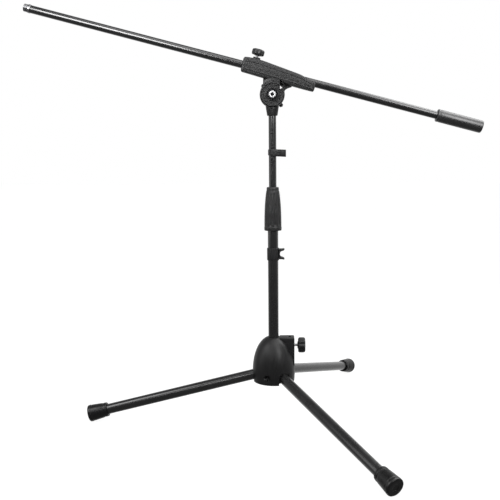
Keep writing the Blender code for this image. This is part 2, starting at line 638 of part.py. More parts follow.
def make_materials():
    return {
        "tube": make_material("black_painted_tube", (0.012, 0.012, 0.013), 0.32, 0.0),
        "plastic": make_material("satin_black_plastic", (0.02, 0.02, 0.021), 0.45, 0.0),
        "matt": make_material("matt_grey_plastic", (0.04, 0.04, 0.042), 0.62, 0.0),
        "cast": make_material("black_cast_alloy", (0.025, 0.025, 0.027), 0.5, 0.0),
        "rubber": make_material("black_rubber", (0.014, 0.014, 0.014), 0.8, 0.0),
        "sleeve": make_material("weight_sleeve", (0.03, 0.03, 0.031), 0.4, 0.0),
        "nylon": make_material("grey_nylon", (0.25, 0.25, 0.25), 0.5, 0.0),
        "steel": make_material("zinc_steel", (0.55, 0.55, 0.56), 0.32, 1.0),
        "chrome": make_material("bright_plated_steel", (0.75, 0.75, 0.76), 0.16, 1.0),
        "dark": make_material("blackened_steel", (0.05, 0.05, 0.05), 0.45, 1.0),
        "iron": make_material("cast_iron", (0.12, 0.12, 0.12), 0.7, 1.0),
    }


def build_stand():
    clear_scene()
    materials = make_materials()
    base_frame = make_empty("base_frame", (POLE_X, 0.0, 0.0))
    base_housing(base_frame, materials)
    base_lock(base_frame, materials)
    legs(materials)
    pole(materials)
    clutch(materials)
    upper_pole(materials)
    head_frame = make_empty("head_frame", (POLE_X, 0.0, PIVOT_Z))
    swivel_head(head_frame, materials)
    pivot_hardware(head_frame, materials)
    boom_frame = make_empty("boom_frame", (POLE_X, 0.0, PIVOT_Z), (0.0, BOOM_TILT, 0.0))
    boom_clamp(boom_frame, materials)
    boom_lock(boom_frame, materials)
    boom(boom_frame, materials)


build_stand()
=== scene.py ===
"""Looks of the boom microphone stand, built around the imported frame.

Outlines are in millimetres in the local space of each sub-part, and make_object turns them into metres.
"""

import json
import math

import bmesh
import bpy
from mathutils import Matrix, Vector


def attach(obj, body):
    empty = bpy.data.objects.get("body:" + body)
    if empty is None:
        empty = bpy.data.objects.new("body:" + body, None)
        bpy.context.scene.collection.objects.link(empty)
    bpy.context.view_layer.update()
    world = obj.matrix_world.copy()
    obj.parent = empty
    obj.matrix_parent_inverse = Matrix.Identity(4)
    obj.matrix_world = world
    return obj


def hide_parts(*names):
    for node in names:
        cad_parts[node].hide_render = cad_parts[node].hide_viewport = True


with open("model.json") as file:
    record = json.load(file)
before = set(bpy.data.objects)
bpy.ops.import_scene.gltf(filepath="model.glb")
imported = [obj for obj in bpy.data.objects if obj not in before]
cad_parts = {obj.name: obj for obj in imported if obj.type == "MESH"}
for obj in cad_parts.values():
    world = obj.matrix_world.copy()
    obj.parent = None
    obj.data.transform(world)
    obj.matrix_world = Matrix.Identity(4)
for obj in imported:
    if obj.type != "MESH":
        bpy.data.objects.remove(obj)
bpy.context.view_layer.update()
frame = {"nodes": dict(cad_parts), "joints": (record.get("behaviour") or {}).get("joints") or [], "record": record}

MM = 0.001
JOINTS = {joint["name"]: joint for joint in frame["joints"]}
LEG_SLOPE = math.radians(13.8)

# Radii and heights that the visible pieces share with the frame
LEG_R = 11.15
LEG_TUBE_END = 385.0
FOOT_TIP = 390.0
FOOT_LENGTH = 43.0
UPPER_R = 8.0
ROD_R = 8.0
ROD_V = 44.0
GAP = 0.3
TUBE_WALL = 1.2
THIN_WALL = 1.0
SCREW_R = 3.0
SCREW_PITCH = 1.0
SCREW_DEPTH = 0.5
SCREW_HOLE_R = 3.3
BOLT_HOLE_R = 4.3
PAD_HOLE_R = 4.9
LEGS = (1, 2, 3)
LEG_TUBE_START = 12.3
LOWER_TUBE = (97.3, 438.0)
UPPER_TUBE = (264.0, 674.6)
ROD_TUBE = (-524.0, 430.0)
KNUCKLE_R = 11.0
KNUCKLE_HALF = 11.8
DOME_BOTTOM = 93.0
DOME_WIDEST = 110.0
DOME_HEIGHT = 82.2
DOME_TOP = 189.0
DOME_R = 46.0
DOME_POWER = 2.2
LOCK_Z = 171.0
LOCK_U = -49.5
SIDES = 96


# Local spaces -----------------------------------------------------------------------------

def axes_matrix(x, y, z, origin):
    """A space from its three axes and its origin."""
    made = Matrix((x, y, z)).transposed().to_4x4()
    made.translation = origin
    return made


def leg_space(number):
    """X runs out along the leg from its hinge and Y along the hinge pin."""
    joint = JOINTS[f"leg_{number}_fold"]
    pin = Vector(joint["axis"]).normalized()
    outward = pin.cross(Vector((0.0, 0.0, 1.0)))
    along = outward * math.cos(LEG_SLOPE) - Vector((0.0, 0.0, math.sin(LEG_SLOPE)))
    return axes_matrix(along, pin, along.cross(pin), Vector(joint["pos_m"]))


def hinge_space(number):
    """The leg hinge's place with Z upright."""
    joint = JOINTS[f"leg_{number}_fold"]
    pin = Vector(joint["axis"]).normalized()
    up = Vector((0.0, 0.0, 1.0))
    return axes_matrix(pin.cross(up), pin, up, Vector(joint["pos_m"]))


PIVOT = Vector(JOINTS["boom_tilt"]["pos_m"])
POLE = Matrix.Translation((PIVOT.x, 0.0, 0.0))
HEAD = Matrix.Translation(PIVOT)
ROD_AXIS = -Vector(JOINTS["boom_slide"]["axis"]).normalized()
BOOM = axes_matrix(ROD_AXIS, Vector((0.0, 1.0, 0.0)), ROD_AXIS.cross(Vector((0.0, 1.0, 0.0))), PIVOT)
ROD = BOOM @ Matrix.Translation((0.0, 0.0, ROD_V * MM))
LOCK = BOOM @ Matrix.Translation((LOCK_U * MM, 0.0, 0.0))
BASE_LOCK = POLE @ Matrix.Translation((0.0, 0.0, LOCK_Z * MM))


# Outlines ---------------------------------------------------------------------------------

def fillet(points, radius, steps=4):
    """Round the inner corners of an open run of points, by at most this far along each side.

    A point may carry its own radius as a third number.
    """
    made = [tuple(points[0][:2])]
    for before, here, after in zip(points, points[1:], points[2:]):
        size = here[2] if len(here) > 2 else radius
        a, p, b = Vector(before[:2]), Vector(here[:2]), Vector(after[:2])
        reach_in = min(size, (a - p).length * 0.48)
        reach_out = min(size, (b - p).length * 0.48)
        if min(reach_in, reach_out) < 1e-4:
            made.append(tuple(p))
            continue
        start = p + (a - p).normalized() * reach_in
        end = p + (b - p).normalized() * reach_out
        for k in range(steps + 1):
            t = k / steps
            at = start * (1 - t) ** 2 + p * 2 * t * (1 - t) + end * t ** 2
            made.append(tuple(at))
    made.append(tuple(points[-1][:2]))
    return made


def arc(radius, start, end, steps, centre=(0.0, 0.0)):
    """Points along a circle from one angle to another, in degrees."""
    points = []
    for k in range(steps + 1):
        angle = math.radians(start + (end - start) * k / steps)
        points.append((centre[0] + radius * math.cos(angle), centre[1] + radius * math.sin(angle)))
    return points


def smooth(value, low, high):
    """0 below low, 1 above high and an even S between them."""
    t = min(1.0, max(0.0, (value - low) / (high - low)))
    return t * t * (3.0 - 2.0 * t)


def on_line(points, x):
    """The height of a run of (x, y) points at x."""
    for (x0, y0), (x1, y1) in zip(points, points[1:]):
        if x <= x1:
            return y0 + (y1 - y0) * max(0.0, x - x0) / (x1 - x0)
    return points[-1][1]


# Mesh builders ----------------------------------------------------------------------------

TURN = {
    "X": lambda h, a, b: (h, a, b),
    "Y": lambda h, a, b: (b, h, a),
    "Z": lambda h, a, b: (a, b, h),
}


def turned(profile, axis="Z", sides=SIDES, ripple=None):
    """Turn (radius, height) points about an axis; both ends on the axis make a solid."""
    shape = bmesh.new()
    rings = []
    for radius, height in profile:
        if radius < 1e-6:
            rings.append([shape.verts.new(TURN[axis](height, 0.0, 0.0))])
            continue
        ring = []
        for k in range(sides):
            angle = 2.0 * math.pi * k / sides
            r = ripple(radius, height, angle) if ripple else radius
            ring.append(shape.verts.new(TURN[axis](height, r * math.cos(angle), r * math.sin(angle))))
        rings.append(ring)
    pairs = list(zip(rings, rings[1:]))
    if len(rings[0]) > 1:
        pairs.append((rings[-1], rings[0]))
    for one, two in pairs:
        for k in range(sides):
            n = (k + 1) % sides
            corners = [one[k % len(one)], one[n % len(one)], two[n % len(two)], two[k % len(two)]]
            shape.faces.new(list(dict.fromkeys(corners)))
    return shape


def densify(profile, step):
    """Add points so that no stretch of a profile is longer than step."""
    made = [profile[0]]
    for a, b in zip(profile, profile[1:]):
        length = math.dist(a, b)
        parts = max(1, math.ceil(length / step))
        for k in range(1, parts + 1):
            made.append((a[0] + (b[0] - a[0]) * k / parts, a[1] + (b[1] - a[1]) * k / parts))
    return made


def prism(outline, low, high):
    """Extrude (x, z) points along Y."""
    shape = bmesh.new()
    corners = [shape.verts.new((a, low, b)) for a, b in outline]
    face = shape.faces.new(corners)
    grown = bmesh.ops.extrude_face_region(shape, geom=[face])
    far_side = [g for g in grown["geom"] if isinstance(g, bmesh.types.BMVert)]
    bmesh.ops.translate(shape, verts=far_side, vec=(0.0, high - low, 0.0))
    return shape


def block(x0, x1, y0, y1, z0, z1):
    """A box between two values on each axis."""
    return prism([(x0, z0), (x1, z0), (x1, z1), (x0, z1)], y0, y1)


def rod(radius, low, high, axis="Z", sides=48):
    """A solid cylinder between two places along an axis."""
    return turned([(0.0, low), (radius, low), (radius, high), (0.0, high)], axis, sides)


def moved(shape, offset):
    bmesh.ops.translate(shape, verts=shape.verts, vec=offset)
    return shape


def spun(shape, degrees, axis):
    turn = Matrix.Rotation(math.radians(degrees), 3, axis)
    bmesh.ops.rotate(shape, verts=shape.verts, cent=(0.0, 0.0, 0.0), matrix=turn)
    return shape


def lofted(sections):
    """Skin closed sections of equal point counts and cap both ends."""
    shape = bmesh.new()
    rings = [[shape.verts.new(p) for p in section] for section in sections]
    for one, two in zip(rings, rings[1:]):
        for k in range(len(one)):
            n = (k + 1) % len(one)
            shape.faces.new((one[k], one[n], two[n], two[k]))
    shape.faces.new(rings[0])
    shape.faces.new(rings[-1])
    return shape


def threaded(radius, depth, pitch, low, high, axis="Z", chamfer=0.6, sides=64):
    """A solid screw with a real helical thread that fades out in a chamfer at both ends."""
    per_turn = 8
    count = max(2, int((high - low) / pitch * per_turn))
    profile = [(0.0, low)]
    profile += [(radius, low + (high - low) * k / count) for k in range(count + 1)]
    profile.append((0.0, high))

    def ripple(r, height, angle):
        phase = (height / pitch - angle / (2.0 * math.pi)) % 1.0
        groove = depth * min(1.0, max(0.0, 1.6 * abs(phase - 0.5) * 2.0 - 0.3))
        ends = min(height - low, high - height)
        return r - groove - max(0.0, chamfer - ends) * 0.9
    return turned(profile, axis, sides, ripple)


def make_object(name, shape, space):
    """A new object from a shape in millimetres of the given space; the shape is used up."""
    bmesh.ops.recalc_face_normals(shape, faces=shape.faces)
    for vertex in shape.verts:
        vertex.co = space @ (vertex.co * MM)
    mesh = bpy.data.meshes.new(name)
    shape.to_mesh(mesh)
    shape.free()
    made = bpy.data.objects.new(name, mesh)
    bpy.context.scene.collection.objects.link(made)
    return made


def carve(target, joins=(), cuts=()):
    """Apply unions and then differences, and delete the helpers."""
    steps = [("UNION", shape, space) for shape, space in joins]
    steps += [("DIFFERENCE", shape, space) for shape, space in cuts]
    helpers = []
    for operation, shape, space in steps:
        helper = make_object("helper", shape, space)
        helpers.append(helper)
        modifier = target.modifiers.new("carve", "BOOLEAN")
        modifier.operation = operation
        modifier.solver = "EXACT"
        modifier.object = helper
    apply_modifiers(target)
    for helper in helpers:
        bpy.data.objects.remove(helper, do_unlink=True)


def apply_modifiers(target):
    """Swap the mesh for the one its modifiers make, and clear them."""
    bpy.context.view_layer.update()
    evaluated = target.evaluated_get(bpy.context.evaluated_depsgraph_get())
    mesh = bpy.data.meshes.new_from_object(evaluated)
    target.modifiers.clear()
    old = target.data
    target.data = mesh
    bpy.data.meshes.remove(old)


def soften(target, width, segments=3, angle=38):
    """Round the sharp edges of a piece by width millimetres."""
    modifier = target.modifiers.new("edges", "BEVEL")
    modifier.width = width * MM
    modifier.segments = segments
    modifier.limit_method = "ANGLE"
    modifier.angle_limit = math.radians(angle)
    modifier.miter_outer = "MITER_ARC"
    apply_modifiers(target)


def finish_piece(target, body, material, nodes, sharp=32):
    """Shade a piece, ride it on its body and hide the CAD nodes it stands for."""
    mesh = target.data
    mesh.shade_smooth()
    mesh.set_sharp_from_angle(angle=math.radians(sharp))
    mesh.materials.clear()
    mesh.materials.append(material)
    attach(target, body)
    if nodes:
        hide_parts(*nodes)


def piece(name, shape, space, body, material, nodes, sharp=32):
    """Make an object and finish it as a piece."""
    finish_piece(make_object(name, shape, space), body, material, nodes, sharp)


# Materials --------------------------------------------------------------------------------

class Finish:
    """Builds one Principled material with procedural colour, roughness and bump."""

    def __init__(self, name, roughness, metallic=0.0, coat=0.0, coat_roughness=0.1, specular=0.5):
        self.material = bpy.data.materials.new(name)
        self.material.use_nodes = True
        self.tree = self.material.node_tree
        self.shader = self.tree.nodes["Principled BSDF"]
        self.shader.inputs["Metallic"].default_value = metallic
        self.shader.inputs["Roughness"].default_value = roughness
        self.shader.inputs["Coat Weight"].default_value = coat
        self.shader.inputs["Coat Roughness"].default_value = coat_roughness
        self.shader.inputs["Specular IOR Level"].default_value = specular
        self.coordinates = self.node("ShaderNodeTexCoord").outputs["Object"]
        self.height = None

    def node(self, kind, **inputs):
        made = self.tree.nodes.new(kind)
        for key, value in inputs.items():
            made.inputs[key.replace("_", " ")].default_value = value
        return made

    def link(self, source, target):
        self.tree.links.new(source, target)

    def noise(self, scale, detail=2.0, stretch=(1.0, 1.0, 1.0), rough=0.5):
        mapping = self.node("ShaderNodeMapping")
        mapping.inputs["Scale"].default_value = stretch
        self.link(self.coordinates, mapping.inputs["Vector"])
        made = self.node("ShaderNodeTexNoise", Scale=scale, Detail=detail, Roughness=rough)
        self.link(mapping.outputs["Vector"], made.inputs["Vector"])
        return made.outputs["Fac"]

    def ramp(self, source, low, high, out_low=0.0, out_high=1.0):
        made = self.node("ShaderNodeMapRange")
        made.clamp = True
        for key, value in (("From Min", low), ("From Max", high), ("To Min", out_low), ("To Max", out_high)):
            made.inputs[key].default_value = value
        self.link(source, made.inputs["Value"])
        return made.outputs["Result"]

    def maths(self, operation, a, b):
        made = self.node("ShaderNodeMath")
        made.operation = operation
        for index, value in enumerate((a, b)):
            if isinstance(value, (int, float)):
                made.inputs[index].default_value = value
            else:
                self.link(value, made.inputs[index])
        return made.outputs["Value"]

    def blend(self, amount, first, second):
        """Mix two colours by a 0 to 1 amount."""
        made = self.node("ShaderNodeMix")
        made.data_type = "RGBA"
        self.link(amount, made.inputs["Factor"])
        for socket, value in ((made.inputs[6], first), (made.inputs[7], second)):
            if isinstance(value, tuple):
                socket.default_value = (*value, 1.0)
            else:
                self.link(value, socket)
        return made.outputs[2]

    def edges(self, radius, low=0.004, high=0.06):
        """1 on convex and concave edges and 0 on open surface, from a rounded normal."""
        rounded = self.node("ShaderNodeBevel")
        rounded.samples = 4
        rounded.inputs["Radius"].default_value = radius
        geometry = self.node("ShaderNodeNewGeometry")
        dot = self.node("ShaderNodeVectorMath")
        dot.operation = "DOT_PRODUCT"
        self.link(rounded.outputs["Normal"], dot.inputs[0])
        self.link(geometry.outputs["Normal"], dot.inputs[1])
        return self.ramp(self.maths("SUBTRACT", 1.0, dot.outputs["Value"]), low, high)

    def upward(self):
        """1 where the surface faces up and 0 where it faces sideways or down."""
        geometry = self.node("ShaderNodeNewGeometry")
        split = self.node("ShaderNodeSeparateXYZ")
        self.link(geometry.outputs["Normal"], split.inputs["Vector"])
        return self.ramp(split.outputs["Z"], 0.35, 1.0)

    def bump(self, height, strength, distance):
        made = self.node("ShaderNodeBump")
        made.inputs["Strength"].default_value = strength
        made.inputs["Distance"].default_value = distance
        self.link(height, made.inputs["Height"])
        if self.height:
            self.link(self.height, made.inputs["Normal"])
        self.height = made.outputs["Normal"]

    def done(self, colour, roughness):
        self.link(colour, self.shader.inputs["Base Color"])
        self.link(roughness, self.shader.inputs["Roughness"])
        if self.height:
            self.link(self.height, self.shader.inputs["Normal"])
        return self.material


def painted_tube():
    """Black powder coat: faint orange peel, cloudy gloss and rubbed edges."""
    f = Finish("painted_tube", 0.3, coat=1.0, coat_roughness=0.17)
    cloud = f.noise(35.0, 3.0)
    peel = f.noise(900.0, 2.0)
    rub = f.noise(55.0, 4.0, (1.0, 1.0, 0.25), 0.65)
    edge = f.edges(0.0006)
    worn = f.maths("MULTIPLY", edge, f.ramp(rub, 0.42, 0.62))
    base = f.blend(f.ramp(cloud, 0.3, 0.7), (0.0055, 0.0055, 0.006), (0.009, 0.009, 0.0095))
    colour = f.blend(worn, base, (0.06, 0.059, 0.058))
    rough = f.ramp(f.maths("ADD", cloud, f.maths("MULTIPLY", rub, 0.5)), 0.5, 1.1, 0.24, 0.37)
    f.bump(peel, 0.08, 0.000006)
    f.bump(cloud, 0.04, 0.0002)
    return f.done(colour, rough)


def moulded(name, dark, light, roughness, grain, grain_depth, specular=0.5, wear=0.5):
    """Injection moulded plastic: fine spark texture, flow clouds and paler rubbed edges."""
    f = Finish(name, roughness, specular=specular)
    flow = f.noise(26.0, 3.0, (1.0, 1.0, 0.5))
    fine = f.noise(grain, 2.0, rough=0.7)
    pits = f.noise(grain * 2.3, 1.0)
    edge = f.edges(0.0008)
    patch = f.noise(90.0, 3.0)
    worn = f.maths("MULTIPLY", edge, f.ramp(patch, 0.4, 0.7, 0.1, wear))
    base = f.blend(f.ramp(flow, 0.3, 0.7), dark, light)
    speckled = f.blend(f.ramp(fine, 0.55, 0.75, 0.0, 0.35), base, tuple(c * 1.7 for c in light))
    colour = f.blend(worn, speckled, tuple(min(1.0, c * 3.5 + 0.03) for c in light))
    rough = f.ramp(f.maths("ADD", flow, f.maths("MULTIPLY", fine, 0.6)), 0.5, 1.1,
                   roughness - 0.07, roughness + 0.08)
    f.bump(fine, 0.55, grain_depth)
    f.bump(pits, 0.25, grain_depth * 0.5)
    return f.done(colour, rough)


def rubber(name, dark, light, roughness):
    """Matt rubber with a grained skin and a trace of dust where it faces up."""
    f = Finish(name, roughness, specular=0.5)
    skin = f.noise(1400.0, 3.0, rough=0.75)
    mottle = f.noise(70.0, 4.0)
    dust = f.maths("MULTIPLY", f.upward(), f.ramp(f.noise(420.0, 5.0, rough=0.8), 0.48, 0.7, 0.0, 0.35))
    base = f.blend(f.ramp(mottle, 0.3, 0.7), dark, light)
    colour = f.blend(dust, base, (0.075, 0.073, 0.07))
    rough = f.ramp(mottle, 0.3, 0.7, roughness - 0.08, roughness + 0.1)
    f.bump(skin, 0.6, 0.00007)
    return f.done(colour, rough)


def plated(name, tint, roughness, lines, metallic=1.0):
    """Plated steel: fine turning marks, cloudy gloss and dull spots."""
    f = Finish(name, roughness, metallic=metallic)
    marks = f.noise(lines, 2.0, (1.0, 1.0, 1.0), 0.7)
    cloud = f.noise(160.0, 3.0)
    spots = f.ramp(f.noise(700.0, 3.0), 0.62, 0.75)
    base = f.blend(f.ramp(cloud, 0.3, 0.7), tuple(c * 0.86 for c in tint), tint)
    colour = f.blend(f.maths("MULTIPLY", spots, 0.3), base, tuple(c * 0.5 for c in tint))
    rough = f.ramp(f.maths("ADD", cloud, marks), 0.7, 1.3, roughness - 0.05, roughness + 0.12)
    f.bump(marks, 0.2, 0.00002)
    return f.done(colour, rough)


def nylon():
    f = Finish("natural_nylon", 0.5, specular=0.45)
    flow = f.noise(45.0, 3.0)
    fine = f.noise(1100.0, 2.0)
    base = f.blend(f.ramp(flow, 0.3, 0.7), (0.2, 0.198, 0.19), (0.27, 0.268, 0.258))
    rough = f.ramp(flow, 0.3, 0.7, 0.42, 0.6)
    f.bump(fine, 0.4, 0.00004)
    return f.done(base, rough)


PAINT = painted_tube()
HOUSING = moulded("satin_housing", (0.008, 0.008, 0.0084), (0.0125, 0.0125, 0.013), 0.42, 1500.0, 0.00003,
                  0.45)
CLAMP = moulded("matt_clamp", (0.018, 0.018, 0.0185), (0.026, 0.026, 0.0265), 0.56, 1300.0, 0.00006, 0.4, 0.2)
KNOB = moulded("knob_plastic", (0.0095, 0.0095, 0.01), (0.0145, 0.0145, 0.015), 0.42, 1600.0, 0.00004, 0.45)
CAST = moulded("coated_casting", (0.0045, 0.0045, 0.005), (0.0075, 0.0075, 0.008), 0.44, 1000.0, 0.00008,
               0.45, 0.3)
WEIGHT = moulded("weight_sleeve", (0.012, 0.012, 0.0125), (0.016, 0.016, 0.0165), 0.36, 1200.0, 0.000005, 1.0)
BOOT = rubber("boot_rubber", (0.0045, 0.0045, 0.005), (0.0075, 0.0075, 0.008), 0.3)
GRIP = rubber("grip_rubber", (0.011, 0.011, 0.0115), (0.018, 0.018, 0.0185), 0.42)
CHROME = plated("bright_chrome", (0.36, 0.36, 0.37), 0.22, 500.0)
ZINC = plated("zinc_plate", (0.8, 0.8, 0.81), 0.32, 900.0, 0.45)
NICKEL = plated("satin_nickel", (0.74, 0.74, 0.75), 0.34, 900.0, 0.15)
BLACK_STEEL = plated("blackened_steel", (0.022, 0.022, 0.024), 0.4, 900.0)
IRON = plated("cast_iron", (0.12, 0.12, 0.12), 0.6, 300.0)
NYLON = nylon()
SLOT_MATERIALS = {
    "tube": PAINT, "housing": HOUSING, "clamp": CLAMP, "cast": CAST, "rubber": BOOT, "grip": GRIP,
    "weight": WEIGHT, "knob": KNOB, "nylon": NYLON, "zinc": ZINC, "chrome": CHROME,
    "dark_steel": BLACK_STEEL, "iron": IRON,
}


def dress_frame():
    """Give every CAD node the procedural material of its slot."""
    slots = {part["node"]: part["material_slot"] for part in frame["record"]["subparts"]}
    for name, node in frame["nodes"].items():
        for holder in node.material_slots:
            holder.material = SLOT_MATERIALS[slots[name]]


# Tubes ------------------------------------------------------------------------------------

def pipe(name, inner, outer, low, high, axis, space, body, nodes):
    """A painted tube with lightly rolled ends."""
    loop = [(inner, low + 1.0), (inner, low), (outer, low), (outer, high), (inner, high), (inner, high - 1.0)]
    profile = densify(fillet(loop, 0.35), 40.0)
    piece(name, turned(profile, axis), space, body, PAINT, nodes)


def tubes():
    """The three leg tubes, the two pole tubes and the boom rod."""
    for number in LEGS:
        pipe(f"leg_{number}_tube", LEG_R - TUBE_WALL, LEG_R, LEG_TUBE_START, LEG_TUBE_END, "X",
             leg_space(number), f"leg_{number}", [f"leg_tube_{number}"])
    pipe("lower_pole_tube", LEG_R - TUBE_WALL, LEG_R, *LOWER_TUBE, "Z", POLE, "lower_pole", ["lower_tube"])
    pipe("upper_pole_tube", UPPER_R - THIN_WALL, UPPER_R, *UPPER_TUBE, "Z", POLE, "upper_pole",
         ["upper_tube"])
    pipe("boom_rod_tube", ROD_R - THIN_WALL, ROD_R, *ROD_TUBE, "X", ROD, "boom", ["boom_rod"])


# Feet -------------------------------------------------------------------------------------

def boot_profile():
    """Tip, flared side with a groove, rolled mouth and the socket for the tube."""
    mouth = FOOT_TIP - FOOT_LENGTH
    tip = FOOT_TIP
    run = [(0.0, tip - 1.4), (6.0, tip - 1.4, 0.8), (7.0, tip - 0.2, 0.8), (13.0, tip, 1.5)]
    run += [(18.3, tip - 0.4, 4.6), (18.25, tip - 7.0, 1.0), (17.55, tip - 7.6, 0.5), (17.45, tip - 9.0, 0.5)]
    run += [(17.8, tip - 9.8, 0.8), (15.9, mouth + 11.0, 2.0), (15.1, mouth + 9.6, 0.5)]
    run += [(15.0, mouth + 7.8, 0.4), (15.5, mouth + 7.0, 0.4), (15.3, mouth + 2.5, 1.4), (14.8, mouth, 1.2)]
    run += [(LEG_R + 0.35, mouth, 0.7)]
    run += [(LEG_R + 0.3, tip - 4.7, 0.3), (0.0, tip - 4.7)]
    return fillet(run, 0.6, 5)


def feet():
    """The rubber boots, flattened where they meet the floor."""
    for number in LEGS:
        shape = turned(densify(boot_profile(), 4.0), "X")
        made = make_object(f"boot_{number}", shape, leg_space(number))
        for vertex in made.data.vertices:
            vertex.co.z = max(vertex.co.z, 0.0)
        finish_piece(made, f"leg_{number}", BOOT, [f"rubber_foot_{number}"])


def leg_ends():
    """Knuckles with a ring sunk in each side, and the domed rivets they turn on."""
    for number in LEGS:
        space = leg_space(number)
        outline = arc(KNUCKLE_R, 90.0, 270.0, 40) + [(12.0, -KNUCKLE_R), (12.0, KNUCKLE_R)]
        made = make_object(f"knuckle_{number}", prism(outline, -KNUCKLE_HALF, KNUCKLE_HALF), space)
        soften(made, 0.8)
        plug = rod(LEG_R - 1.5, 10.0, 40.0, "X", 64)
        cuts = [(rod(SCREW_HOLE_R, -20.0, 20.0, "Y"), space)]
        for low, high in ((10.9, 14.0), (-14.0, -10.9)):
            cuts.append((turned([(6.0, low), (9.0, low), (9.0, high), (6.0, high)], "Y", 64), space))
        carve(made, [(plug, space)], cuts)
        finish_piece(made, f"leg_{number}", KNOB, [f"leg_knuckle_{number}"])
        head = [(0.0, -21.5), (2.4, -21.3), (4.0, -20.6), (4.8, -19.6), (4.8, -19.0, 0.2), (3.0, -19.0)]
        shank = [(3.0, 18.8), (2.6, 20.0), (0.0, 20.0)]
        piece(f"leg_rivet_{number}", turned(fillet(head + shank, 0.4), "Y", 48), space, "base",
              ZINC, [f"leg_pin_{number}"])


# Base housing -----------------------------------------------------------------------------

def dome_radius(z):
    """The hub's radius at a height, from a rounded-square curve."""
    rise = max(0.0, (z - DOME_WIDEST) / DOME_HEIGHT)
    return DOME_R * (1.0 - rise ** DOME_POWER) ** (1.0 / DOME_POWER)


def housing_profile():
    """The hub from its bottom rim over the dome and into the tube's bore."""
    bore = LEG_R + GAP
    run = [(bore, DOME_BOTTOM + 6.0), (bore, DOME_BOTTOM, 0.6), (44.9, DOME_BOTTOM, 0.7)]
    run += [(45.3, DOME_BOTTOM + 5.0, 3.0)]
    steps = 26
    for k in range(steps + 1):
        z = DOME_WIDEST + (DOME_TOP - DOME_WIDEST) * math.sin(math.pi / 2 * k / steps)
        run.append((dome_radius(z), z, 0.8))
    run += [(bore, DOME_TOP, 0.8), (bore, DOME_TOP - 9.0)]
    return fillet(run, 0.8)


def leg_slot():
    """The cut a leg folds in; its sloped roof is the stop of the open leg."""
    inner = -11.6
    outer = 70.0
    stop = (LEG_R + 0.35) / math.cos(LEG_SLOPE)
    outline = [(x, stop - x * math.tan(LEG_SLOPE)) for x in (inner, outer)]
    return prism(outline + [(outer, -60.0), (inner, -40.0)], -12.25, 12.25)


def housing():
    """The domed hub with its screw lug, leg slots, pin pockets and mould details."""
    made = make_object("hub_housing", turned(housing_profile(), sides=128), POLE)
    lug = make_object("lug", block(12.5, 45.0, -13.5, 13.5, 126.0, 190.0), POLE)
    soften(lug, 2.6, 5)
    lug_shape = taken_mesh(lug)
    cuts = [(rod(LEG_R + GAP, 60.0, 220.0, sides=128), POLE)]
    for number in LEGS:
        hinge = hinge_space(number)
        cuts.append((leg_slot(), hinge))
        hole = [(0.0, -60.0), (5.5, -60.0), (5.5, -18.7), (SCREW_HOLE_R, -18.7), (SCREW_HOLE_R, 20.4)]
        cuts.append((turned(hole + [(0.0, 20.4)], "Y", 48), hinge))
        rim = [(0.0, -60.0), (6.6, -60.0), (6.6, -29.6), (5.5, -28.5), (0.0, -28.5)]
        cuts.append((turned(rim, "Y", 48), hinge))
    hole = [(0.0, 5.0), (PAD_HOLE_R, 5.0), (PAD_HOLE_R, 14.3), (SCREW_HOLE_R, 14.3), (SCREW_HOLE_R, 60.0)]
    cuts.append((turned(hole + [(0.0, 60.0)], "X", 48), BASE_LOCK))
    nut_slot = block(32.7, 37.3, -5.4, 5.4, LOCK_Z - 5.4, 210.0)
    cuts.append((nut_slot, POLE))
    for azimuth in (0.0, 120.0, 240.0):
        for side in (-8.0, 8.0):
            pocket = moved(rod(3.4, 80.0, 103.0, sides=32), (37.0, 0.0, 0.0))
            cuts.append((spun(pocket, azimuth + side, "Z"), POLE))
    groove = turned([(44.3, 96.4), (50.0, 96.4), (50.0, 97.2), (44.3, 97.2)], "Z", 128)
    cuts.append((groove, POLE))
    carve(made, [(lug_shape, Matrix.Identity(4))], cuts)
    finish_piece(made, "base", HOUSING, ["base_housing"], 28)


def base_lock():
    """The captive square nut, the screw and the eight-lobed knob on the hub's lug."""
    nut = make_object("lug_nut", block(33.0, 37.0, -5.0, 5.0, -5.0, 5.0), BASE_LOCK)
    soften(nut, 0.5)
    carve(nut, (), [(rod(SCREW_HOLE_R, 30.0, 40.0, "X"), BASE_LOCK)])
    finish_piece(nut, "base", ZINC, ["base_lock_nut"])
    screw = threaded(SCREW_R, SCREW_DEPTH, SCREW_PITCH, 14.6, 62.0, "X")
    piece("lug_screw", screw, BASE_LOCK, "base_lock", ZINC, ["base_lock_screw"], 50)
    run = [(0.0, 62.4), (SCREW_HOLE_R, 62.4, 0.2), (SCREW_HOLE_R, 51.7, 0.3), (7.0, 51.7, 0.6)]
    run += [(8.2, 53.0, 0.7)]
    run += [(14.6, 53.2, 1.4), (16.8, 55.4, 2.2), (16.8, 65.8, 2.2), (14.8, 68.6, 2.2), (9.6, 68.6, 0.7)]
    run += [(8.8, 67.7, 0.6), (0.0, 67.9)]
    ripple = lobes(8, 2.2, 9.5)
    piece("hub_knob", turned(densify(fillet(run, 1.0, 6), 2.0), "X", 192, ripple), BASE_LOCK, "base_lock",
          KNOB, ["base_lock_knob"])


def lobes(count, depth, inner):
    """Finger scallops that fade in between the inner radius and the rim."""
    def ripple(radius, height, angle):
        fade = smooth(radius, inner, inner + 4.5)
        dip = (0.5 - 0.5 * math.cos(count * angle)) ** 1.6
        return radius - depth * fade * dip
    return ripple


# Pole -------------------------------------------------------------------------------------

